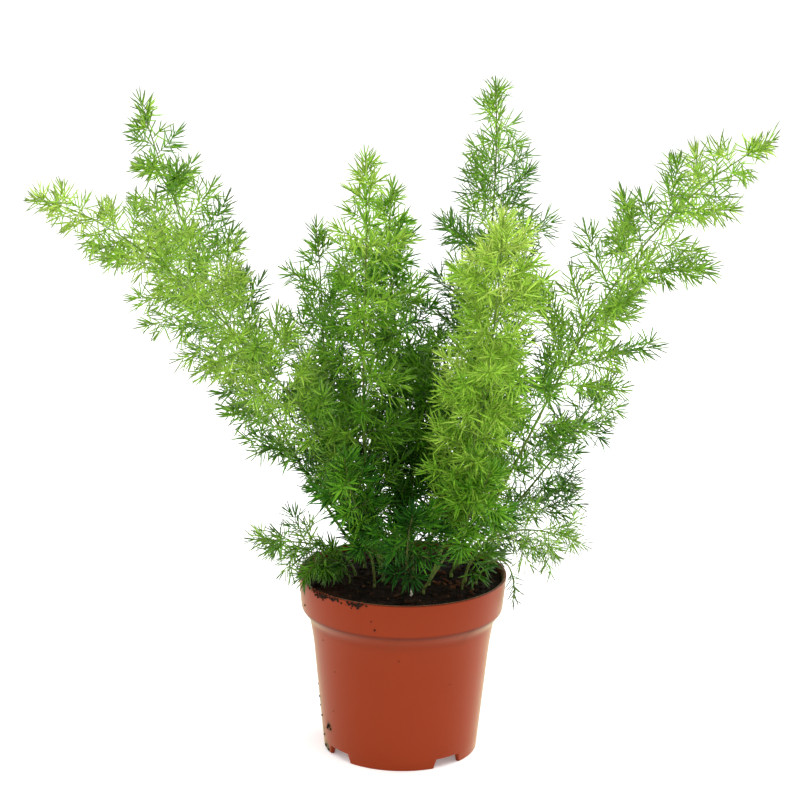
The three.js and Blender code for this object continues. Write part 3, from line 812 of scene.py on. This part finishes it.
# They stand in fans of four, each needle shifted along the twig and swung round it. The fans
# are closer together on the stem's tip.
FAN = 4
FAN_STEP = 3.6
STEM_FAN_STEP = 2.6
FAN_SHIFT = 0.9
FAN_SWING = 0.45
# A needle is three-sided: where its two rings stand, where their corners are, and its faces.
NEEDLE_RINGS = (0.14, 0.7)
NEEDLE_TURNS = (0.5, 2.594, 4.689)
NEEDLE_FACES = np.array(
    [(0, 1 + (k + 1) % 3, 1 + k) for k in range(3)]
    + [(1 + k, 1 + (k + 1) % 3, 4 + (k + 1) % 3) for k in range(3)]
    + [(1 + k, 4 + (k + 1) % 3, 4 + k) for k in range(3)]
    + [(7, 4 + k, 4 + (k + 1) % 3) for k in range(3)])
# Needles keep inside the plant's box and clear of the pot, inside and out.
BOX_MARGIN = 0.3
LOW_LIMIT = np.array(cad_box[0]) * 1000 + BOX_MARGIN
HIGH_LIMIT = np.array(cad_box[1]) * 1000 - BOX_MARGIN
OVER_LIP = 106
OVER_SOIL = 104.5
CLEAR_INSIDE = 2.5
CLEAR_OUTSIDE = 0.8


def draw_pair(a, b):
    """A repeatable draw between -1 and 1 for a pair of whole numbers."""
    value = math.sin(a * 127.1 + b * 311.7) * 43758.5453
    return 2 * (value - math.floor(value)) - 1


def unit(vectors):
    return vectors / np.linalg.norm(vectors, axis=-1, keepdims=True)


class Twig:
    """A curve that is known by the distance along it."""

    def __init__(self, control):
        control = np.array(control, float)
        share = np.linspace(0, 1, TWIG_POINTS)[:, None]
        if len(control) == 4:
            weights = [(1 - share) ** 3, 3 * (1 - share) ** 2 * share,
                       3 * (1 - share) * share ** 2, share ** 3]
        else:
            weights = [(1 - share) ** 2, 2 * (1 - share) * share, share ** 2]
        self.points = sum(weight * point for weight, point in zip(weights, control))
        steps = np.linalg.norm(np.diff(self.points, axis=0), axis=1)
        self.reached = np.concatenate([[0], np.cumsum(steps)])
        self.length = self.reached[-1]
        way = unit(control[-1] - control[0])
        self.guide = np.array([0, 1, 0] if abs(way[1]) < 0.8 else [1, 0, 0])

    def at(self, distance):
        """Points at the distances given, and the directions there."""
        def point(reach):
            return np.stack([np.interp(reach, self.reached, self.points[:, k])
                             for k in range(3)], -1)
        low = np.clip(np.asarray(distance) - STRIDE / 2, 0, self.length - STRIDE)
        return point(distance), unit(point(low + STRIDE) - point(low))

    def leaving(self, along, angle, turn):
        """Directions that leave the curve at an angle, turned round it."""
        across = unit(np.cross(self.guide, along))
        over = np.cross(along, across)
        angle, turn = np.asarray(angle)[..., None], np.asarray(turn)[..., None]
        return (along * np.cos(angle) + across * np.sin(angle) * np.cos(turn)
                + over * np.sin(angle) * np.sin(turn))


class Growth:
    """The skin of one frond while it grows. Each corner has four traits: an age from young to
    old, which also carries painted shade, a greyness, a chance and whether it is wood. grey and
    slim hold for the whole frond: how grey its tips get, and how thick its needles are."""

    def __init__(self, grey, slim):
        self.grey, self.slim = grey, slim
        self.corners, self.faces, self.traits = [], [], []
        self.count = 0

    def add(self, corners, faces, traits):
        self.corners.append(corners)
        self.faces.append(faces + self.count)
        self.traits.append(traits)
        self.count += len(corners)

    def tube(self, twig, distances, radii, sides, age_and_shade):
        """A round twig that ends in a short point."""
        middle, along = twig.at(distances)
        turns = np.arange(sides) * 2 * math.pi / sides
        spokes = [twig.leaving(along, math.pi / 2, turn) for turn in turns]
        rings = [middle + spoke * radii[:, None] for spoke in spokes]
        corners = np.stack(rings, 1).reshape(-1, 3)
        tip = middle[-1] + along[-1] * radii[-1] * 1.5
        corners = np.concatenate([corners, middle[:1], tip[None]])
        faces = []
        for ring in range(len(distances) - 1):
            for k in range(sides):
                a, b = ring * sides + k, ring * sides + (k + 1) % sides
                faces += [(a, b, b + sides), (a, b + sides, a + sides)]
        root, top, last = len(corners) - 2, len(corners) - 1, (len(distances) - 1) * sides
        for k in range(sides):
            n = (k + 1) % sides
            faces += [(root, n, k), (last + k, last + n, top)]
        traits = np.tile([age_and_shade, 0, 0.5, 1], (len(corners), 1))
        self.add(corners, np.array(faces), traits)

    def needles(self, roots, ways, forward, lengths, ages_and_shade, outer, draw):
        """Slender three-sided leaves, pointed at both ends and a little bent. The outermost
        go greyest at their tips."""
        if not len(roots):
            return
        side = unit(np.cross(ways, forward))
        upper = np.cross(side, ways)
        thick = NEEDLE_THICK * self.slim * draw.uniform(0.85, 1.15, len(roots))
        bend = draw.uniform(*NEEDLE_BENDS, len(roots))

        def middle(share):
            return (roots + ways * (lengths * share)[:, None]
                    + forward * (lengths * bend * share * share)[:, None])

        corners = [roots]
        for share in NEEDLE_RINGS:
            for turn in NEEDLE_TURNS:
                offset = side * math.cos(turn) + upper * math.sin(turn) * NEEDLE_FLAT
                corners.append(middle(share) + offset * thick[:, None])
        corners.append(middle(1))
        each = len(corners)
        corners = np.stack(corners, 1).reshape(-1, 3)
        starts = np.arange(len(roots))[:, None, None] * each
        faces = (starts + NEEDLE_FACES).reshape(-1, 3)
        shares = np.array([0, *np.repeat(NEEDLE_RINGS, 3), 1])
        grey = self.grey * np.outer(0.5 + 0.5 * outer, shares).ravel()
        chance = np.repeat(draw.uniform(0, 1, len(roots)) - 0.35 * outer, each)
        traits = np.stack([np.repeat(ages_and_shade, each), grey, chance, 0 * grey], -1)
        self.add(corners, faces, traits)


def has_room(points):
    """Whether each point is inside the plant's box and clear of the soil and the pot."""
    inside = ((points > LOW_LIMIT) & (points < HIGH_LIMIT)).all(-1)
    radius = np.hypot(points[..., 0], points[..., 1])
    height = points[..., 2]
    wall = wall_radius(OUTER_WALL, height)
    in_pot = (radius < wall - CLEAR_INSIDE) & (height > OVER_SOIL)
    return inside & ((height > OVER_LIP) | in_pot | (radius > wall + CLEAR_OUTSIDE))


def add_brush(growth, twig, start, length, ages_and_shade, draw, step=FAN_STEP):
    """Loose fans of needles from a distance along the twig to its tip, with one straight on.
    Needles that would be cramped are shorter, or left out."""
    end = twig.length - NEEDLE_END
    fans = max(2, int(round((end - start) / step)) + 1)
    order = np.repeat(np.arange(fans), FAN)
    at_tip = order == fans - 1
    last = np.arange(len(order)) == len(order) - 1
    station = np.repeat(np.linspace(start, end, fans), FAN)
    station = np.minimum(end, station + draw.uniform(-FAN_SHIFT, FAN_SHIFT, len(order)))
    share = station / twig.length
    turn = (draw.uniform(0, 6.283) + order * GOLDEN_ANGLE
            + draw.uniform(-FAN_SWING, FAN_SWING, len(order))
            + np.tile(np.arange(FAN), fans) * 2 * math.pi / FAN)
    lean = np.where(at_tip, draw.uniform(*TIP_LEANS, len(order)),
                    NEEDLE_ANGLE - NEEDLE_FORWARD * share)
    lean += draw.uniform(-NEEDLE_LEAN_SPREAD, NEEDLE_LEAN_SPREAD, len(order))
    lean = np.radians(lean) * np.where(last, 0.1, 1)
    middle, along = twig.at(station)
    way = twig.leaving(along, lean, turn)
    reach = length * draw.uniform(*NEEDLE_LENGTHS, len(order)) * np.where(at_tip, 0.85, 1)
    for _ in range(3):
        cramped = ~has_room(middle + (way + along * 0.2) * reach[:, None])
        reach = np.where(cramped, reach * 0.8, reach)
    keep = has_room(middle + (way + along * 0.2) * reach[:, None])
    keep &= has_room(middle + way * reach[:, None] * 0.5)
    age_and_shade = ages_and_shade + 0.15 * share + draw.uniform(-0.12, 0.12, len(order))
    growth.needles(middle[keep], way[keep], along[keep], reach[keep], age_and_shade[keep], share[keep],
                   draw)


def frond_age_and_shade(frond, share):
    """Age at a share of the stem: older and darker low down, where the darkness is partly
    painted shade.
    """
    low, high = frond["age_and_shade"]
    return low + (high - low) * share


def branchlet_twig(frond, stem, from_tip, length, turn, angle):
    """A branchlet leaves the stem sideways and bends forward."""
    root, along = stem.at(stem.length - from_tip)
    away = stem.leaving(along, angle, turn)
    away[2] -= frond.get("drop", 0)
    away = unit(away)
    onward = unit(away + BRANCH_BEND * along)
    middle = root + away * length / 2
    return Twig([root, middle, middle + onward * length / 2])


def add_twig(growth, twig, needle, age_and_shade, draw):
    """A thin twig with its needles, unless it would run into the pot or the soil."""
    if not has_room(twig.at(np.linspace(3, twig.length, 6))[0]).all():
        return
    span = np.linspace(0, twig.length - NEEDLE_END, 4)
    thick = np.linspace(TWIG_RADIUS, TWIG_RADIUS * 0.6, 4)
    growth.tube(twig, span, thick, 3, age_and_shade)
    add_brush(growth, twig, NEEDLE_START, needle, age_and_shade, draw)


def add_branchlet(growth, frond, stem, from_tip, reach, turn, angle, draw):
    """A branchlet, and the side twigs that leave it left and right by turns."""
    twig = branchlet_twig(frond, stem, from_tip, reach, turn, math.radians(angle))
    age_and_shade = frond_age_and_shade(frond, 1 - from_tip / stem.length) + draw.uniform(-0.14, 0.14)
    add_twig(growth, twig, frond["needle"], age_and_shade, draw)
    side = draw.uniform(0, 2 * math.pi)
    for reached in np.arange(SIDE_START * twig.length, twig.length - SIDE_END, SIDE_STEP):
        side += math.pi + draw.uniform(-0.5, 0.5)
        root, along = twig.at(reached)
        way = twig.leaving(along, math.radians(SIDE_ANGLE + draw.uniform(-10, 10)), side)
        span = min(SIDE_LONGEST, SIDE_SHORTEST + 0.45 * (twig.length - reached))
        span *= draw.uniform(0.85, 1.15)
        middle = root + way * span / 2
        tip = middle + unit(way + BRANCH_BEND * along) * span / 2
        add_twig(growth, Twig([root, middle, tip]), frond["needle"], age_and_shade, draw)


def grow_stem(growth, frond, stem):
    """The stem, a little knotty, and its foot, which gets thicker down into the soil."""
    distances = np.linspace(0, stem.length - 6, STEM_RINGS)
    knots = 1 + STEM_KNOTS * np.sin(distances * 0.9)
    thick = min(STEM_RADIUS, 0.45 + stem.length / 300)
    radii = np.interp(distances, [0, stem.length], [thick, TWIG_RADIUS]) * knots
    growth.tube(stem, distances, radii, STEM_SIDES, frond["age_and_shade"][0])
    x, y, top = frond["stem"][0]
    foot = Twig([(x, y, STEM_ROOT), (x, y, FOOT_MIDDLE), (x, y, top + 0.5)])
    growth.tube(foot, np.linspace(0, FOOT_LENGTH, 4), FOOT_THICKNESS * thick, STEM_SIDES,
                frond["age_and_shade"][0])


def grow_branchlets(growth, frond, stem, number, draw):
    """The main branchlets, with smaller ones between. They are shortest at the tip and just
    above the bare foot."""
    step = (stem.length - frond["bare"] - BRUSH) / max(1, frond["branchlets"])
    fills = max(0, int(round(step / frond.get("fill", USUAL_FILL))) - 1)
    for i in range(frond["branchlets"]):
        order = number * 40 + i
        for fill in range(fills + 1):
            from_tip = BRUSH + (i + fill / (fills + 1)) * step
            from_bare = stem.length - frond["bare"] - from_tip
            full = min(frond["reach"], frond["first"] + frond["grow"] * from_tip,
                       14 + 0.8 * from_bare)
            turn = i * GOLDEN_ANGLE + math.radians(frond["turn"])
            turn += OWN_TURN * draw_pair(order, 2)
            turn += fill * 2 * math.pi / (fills + 1) * FILL_ROUND
            reach = full * (1 + OWN_LENGTH * draw_pair(order, 1))
            angle = BRANCH_ANGLE + OWN_ANGLE * draw_pair(order, 3)
            if fill:
                reach *= draw.uniform(*FILL_SHARES)
                turn += draw.uniform(-FILL_SWING, FILL_SWING)
                angle += draw.uniform(-FILL_ANGLE, FILL_ANGLE)
            add_branchlet(growth, frond, stem, from_tip, reach, turn, angle, draw)


def grow_tip_and_foot(growth, frond, stem, draw):
    """The tip's brush with its short branchlets, and the small ones on the stem's foot."""
    if frond["branchlets"]:
        for from_tip in np.arange(TIP_START, BRUSH, TIP_STEP):
            turn = from_tip * TIP_ROUND + draw.uniform(-0.5, 0.5)
            add_branchlet(growth, frond, stem, from_tip, frond["first"] + draw.uniform(-1.5, 2),
                          turn, draw.uniform(*TIP_ANGLES), draw)
    for from_root in np.arange(frond.get("low", USUAL_LOW), frond["bare"], UNDER_STEP):
        turn = from_root * UNDER_ROUND + draw.uniform(-0.5, 0.5)
        add_branchlet(growth, frond, stem, stem.length - from_root,
                      draw.uniform(*UNDER_LENGTHS), turn, draw.uniform(*UNDER_ANGLES), draw)
    add_brush(growth, stem, stem.length - BRUSH, frond["needle"], frond_age_and_shade(frond, 1), draw,
              STEM_FAN_STEP)


def grow_frond(frond, number):
    growth = Growth(frond.get("grey", 1.0), frond.get("slim", 1.0))
    draw = np.random.default_rng(100 + number)
    stem = Twig(frond["stem"])
    grow_stem(growth, frond, stem)
    grow_branchlets(growth, frond, stem, number, draw)
    grow_tip_and_foot(growth, frond, stem, draw)
    return growth


def foliage_finish():
    """Young growth is yellow-green and old growth deep green; the deep greens of low and inner
    growth are partly painted shade. Needles grey a little at the tip, and the wood is olive."""
    material, wire, place = new_finish("foliage")
    traits = wire.node("Attribute", {"attribute_name": "traits"})
    wood = traits.beside(3)
    age_and_shade = wire.node("SeparateColor", {}, {0: traits})
    grey, chance = age_and_shade.beside(1), age_and_shade.beside(2)
    # The darkest stops also serve as painted shade deep inside the plant.
    leaf = wire.node("ValToRGB", {"stops": [
        (0.0, colour(206, 230, 112)), (0.3, colour(168, 212, 70)), (0.6, colour(108, 166, 36)),
        (0.85, colour(56, 116, 13)), (1.0, colour(20, 70, 5))]}, {0: age_and_shade})
    leaf = (grey.ramp(0.15, 0.9) * 0.8).mix(leaf, colour(94, 107, 78))
    leaf = leaf.times(0.81 + 0.64 * chance)
    bark = wire.node("ValToRGB", {"stops": [
        (0.0, colour(150, 178, 84)), (0.5, colour(122, 150, 66)), (1.0, colour(92, 96, 48))]},
        {0: age_and_shade})
    mottle = wire.noise(place, 420.0, 3.0)
    shade = wood.mix(leaf, bark).times(0.86 + 0.28 * mottle)
    close_finish(wire, {"Base Color": shade, "Roughness": 0.42 + 0.16 * mottle,
                        "Normal": wire.bump(mottle, 0.2, 0.0001), "Specular IOR Level": 0.12})
    return material


def make_frond(frond, number, material):
    growth = grow_frond(frond, number)
    corners = np.concatenate(growth.corners)
    faces = np.concatenate(growth.faces)
    piece = make_piece("fine_" + frond["name"], corners, faces, material)
    traits = piece.data.attributes.new("traits", "FLOAT_COLOR", "POINT")
    traits.data.foreach_set("color", np.concatenate(growth.traits).ravel())
    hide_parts(frond["name"])


foliage = foliage_finish()
for number, frond in enumerate(FRONDS):
    make_frond(frond, number, foliage)
